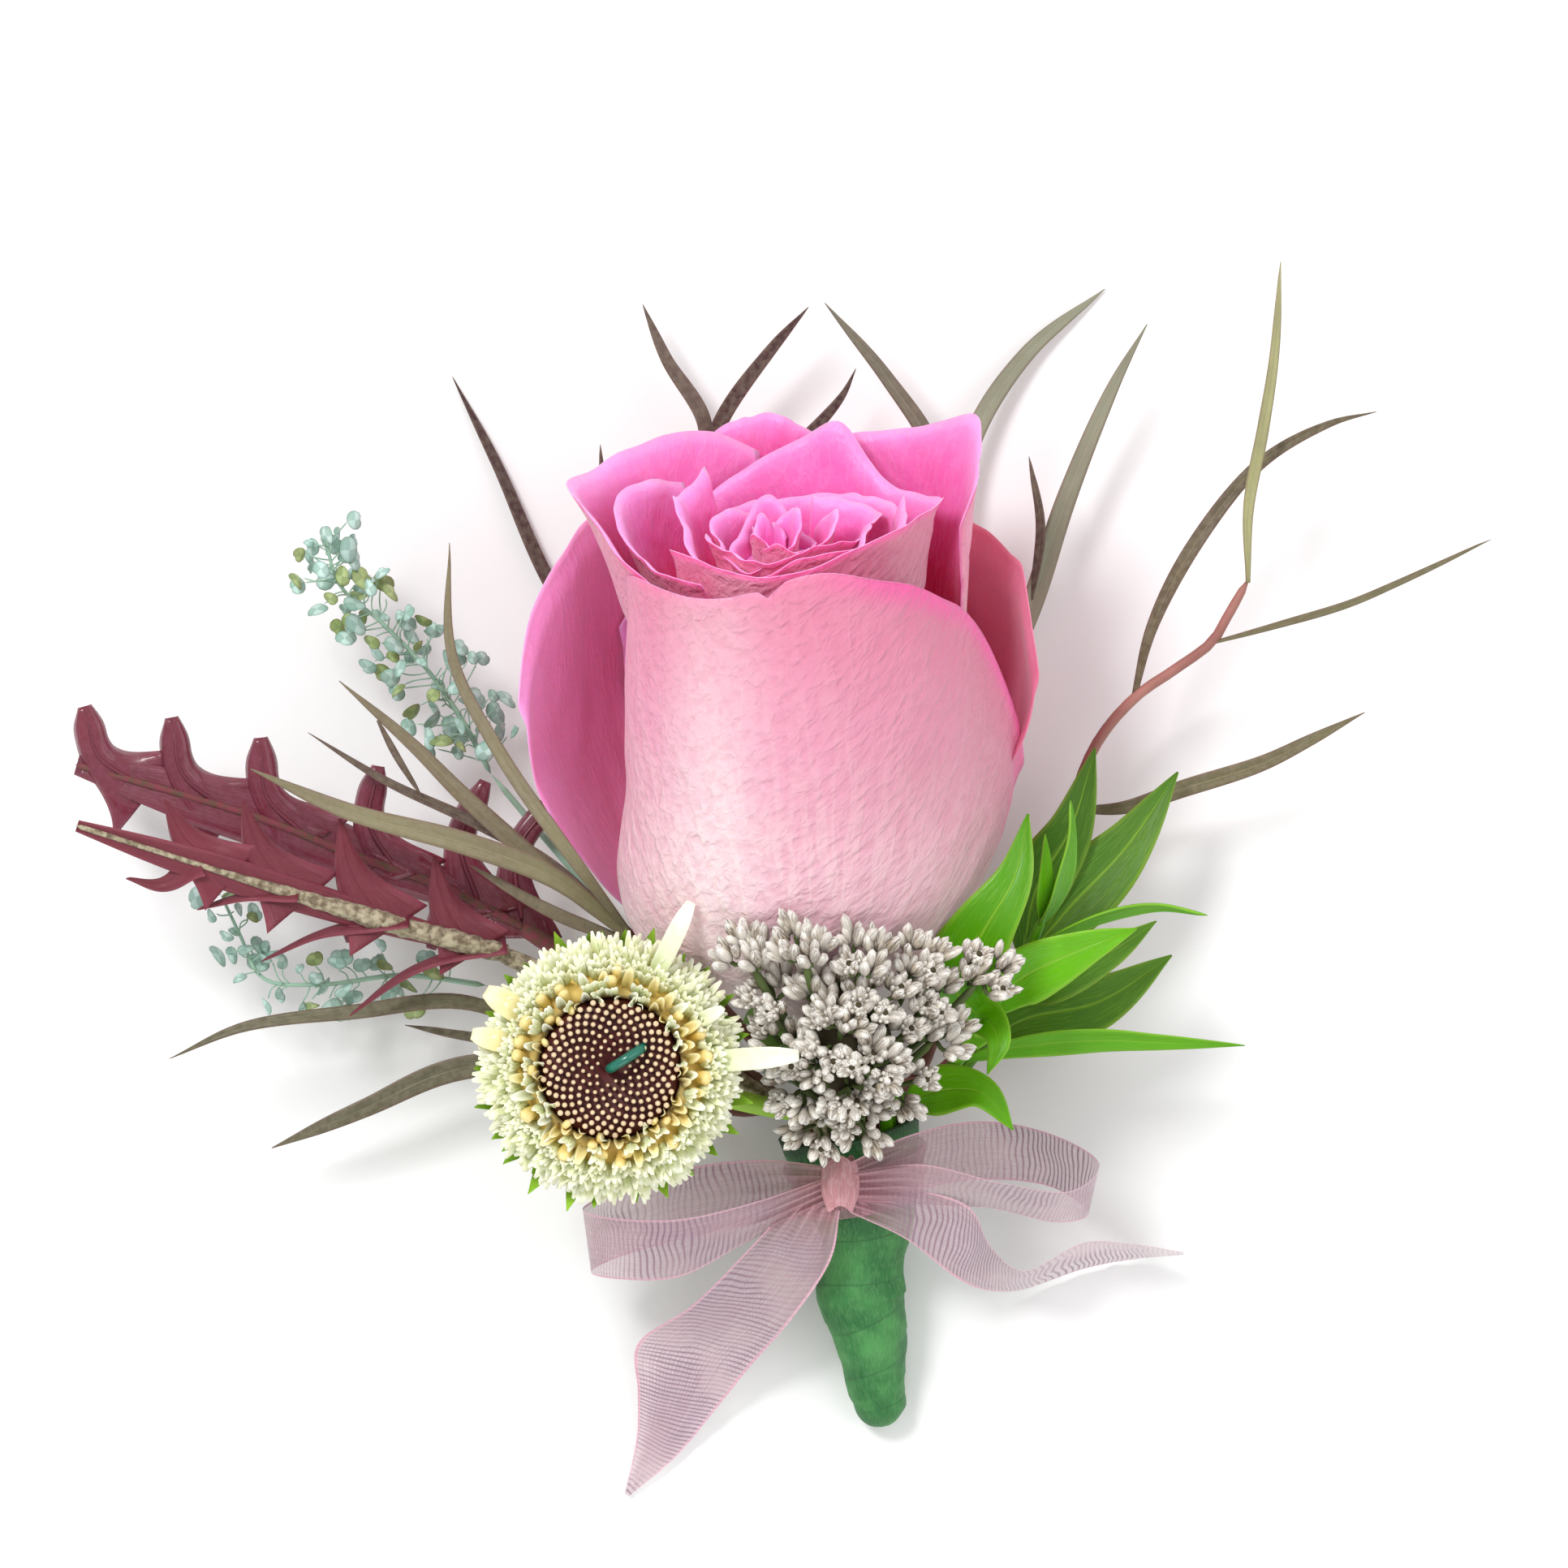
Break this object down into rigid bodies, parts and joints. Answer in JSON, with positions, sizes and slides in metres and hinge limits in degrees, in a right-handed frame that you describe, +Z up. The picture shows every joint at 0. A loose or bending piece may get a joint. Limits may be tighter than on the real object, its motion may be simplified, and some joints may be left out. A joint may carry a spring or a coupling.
{
  "type": "boutonniere",
  "caption": "Lapel flower lying on its back: half-open rose, small gerbera, dried rice flower and mixed foliage, bound with green tape and tied with a sheer ribbon bow",
  "frame": {"origin": "The small flat spot on the back of the rose where the boutonniere rests on the surface.", "axes": "+Z points up from the surface, towards the faces of the flowers. +Y points from the wrapped handle towards the opening of the rose. +X points to the side of the long forked spray."},
  "size_m": [0.1407, 0.1222, 0.0532],
  "materials": {
    "rose_petal": "soft velvety petal",
    "green_stem": "fresh green, satin",
    "floral_tape": "waxed crepe paper",
    "germini_dark": "matte",
    "germini_cream": "soft petal",
    "enamelled_wire": "green enamel",
    "dried_buds": "dry, matte",
    "ruscus_leaf": "waxy leaf",
    "agonis_leaf": "satin leaf",
    "grevillea_leaf": "satin leaf",
    "mint_pod": "matte pod",
    "organza": "sheer organza"
  },
  "bodies": {
    "root": {"rose_bloom": "rose_petal", "rose_calyx": "green_stem", "stem_wrap": "floral_tape", "germini_disc": "germini_dark", "germini_florets": "germini_cream", "germini_calyx": "green_stem", "germini_wire": "enamelled_wire", "rice_flower": "dried_buds", "ruscus_front": "ruscus_leaf", "ruscus_back": "ruscus_leaf", "agonis_top_left": "agonis_leaf", "agonis_top_right": "agonis_leaf", "agonis_right_spray": "agonis_leaf", "agonis_left": "agonis_leaf", "agonis_low_left": "agonis_leaf", "grevillea_upper": "grevillea_leaf", "grevillea_lower": "grevillea_leaf", "peppergrass_upper": "mint_pod", "peppergrass_lower": "mint_pod", "ribbon_bow": "organza"}
  },
  "joints": []
}
